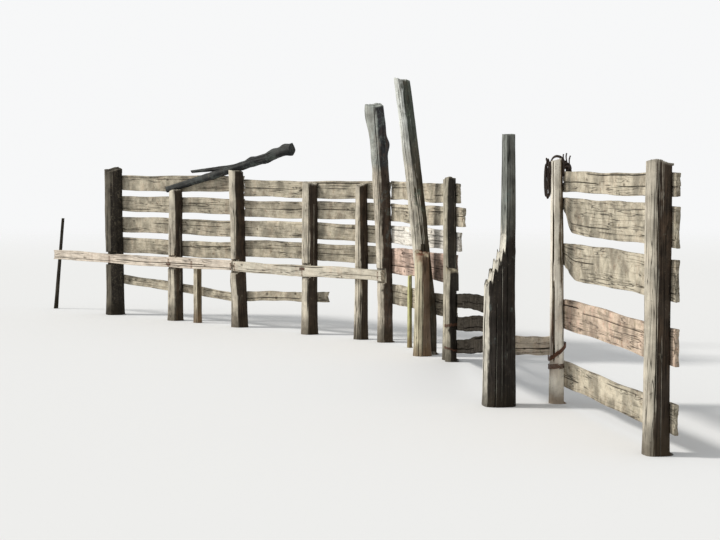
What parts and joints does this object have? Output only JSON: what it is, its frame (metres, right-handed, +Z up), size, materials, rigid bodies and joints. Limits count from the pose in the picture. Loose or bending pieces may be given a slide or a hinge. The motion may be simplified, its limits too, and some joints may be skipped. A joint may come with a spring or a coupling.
{
  "type": "timber stockyard fence with squeeze stile",
  "caption": "Weathered timber stockyard fence: a boarded run bending at tall posts, a gateway with low rails, and a squeeze stile with a step board.",
  "frame": {"origin": "at the foot of the broad stile post, on the ground", "axes": "+X along the fence towards its near end, +Y away from the yard, +Z up"},
  "size_m": [11.0757, 3.4892, 2.319],
  "materials": {
    "dark_post": "weathered charcoal-grey split timber",
    "grey_post": "weathered grey-brown timber",
    "lichen_post": "weathered timber with green-grey lichen",
    "pale_post": "bleached pale timber",
    "warm_board": "pinkish-tan weathered timber",
    "dark_rail": "dark weathered timber",
    "pale_board": "sun-bleached split board"
  },
  "bodies": {
    "root": {"end_post": "dark_post", "stile_post": "dark_post", "gate_stub": "dark_post", "gate_post": "dark_post", "run_post_far": "grey_post", "run_post_middle": "grey_post", "run_post_near": "grey_post", "slim_post": "grey_post", "near_end_post": "grey_post", "corner_post": "lichen_post", "tall_post": "lichen_post", "stile_side_post": "pale_post", "rail_stake": "pale_post", "thin_pole": "pale_post", "short_post": "warm_board", "bay_board_4": "warm_board", "leaning_stick": "dark_rail", "fallen_bough": "dark_rail", "gate_rail_1": "dark_rail", "gate_rail_2": "dark_rail", "gate_rail_3": "dark_rail", "run_board_far_1": "pale_board", "run_board_far_2": "pale_board", "run_board_far_3": "pale_board", "run_board_far_4": "pale_board", "run_board_near_1": "pale_board", "run_board_near_2": "pale_board", "run_board_near_3": "pale_board", "run_board_near_4": "pale_board", "front_rail_far": "pale_board", "front_rail_near": "pale_board", "low_rail_far": "pale_board", "low_rail_near": "pale_board", "step_board": "pale_board", "bay_board_1": "pale_board", "bay_board_2": "pale_board", "bay_board_3": "pale_board", "bay_board_5": "pale_board", "near_board_1": "pale_board", "near_board_2": "pale_board", "near_board_3": "pale_board", "near_board_4": "pale_board", "near_board_5": "pale_board"}
  },
  "joints": []
}
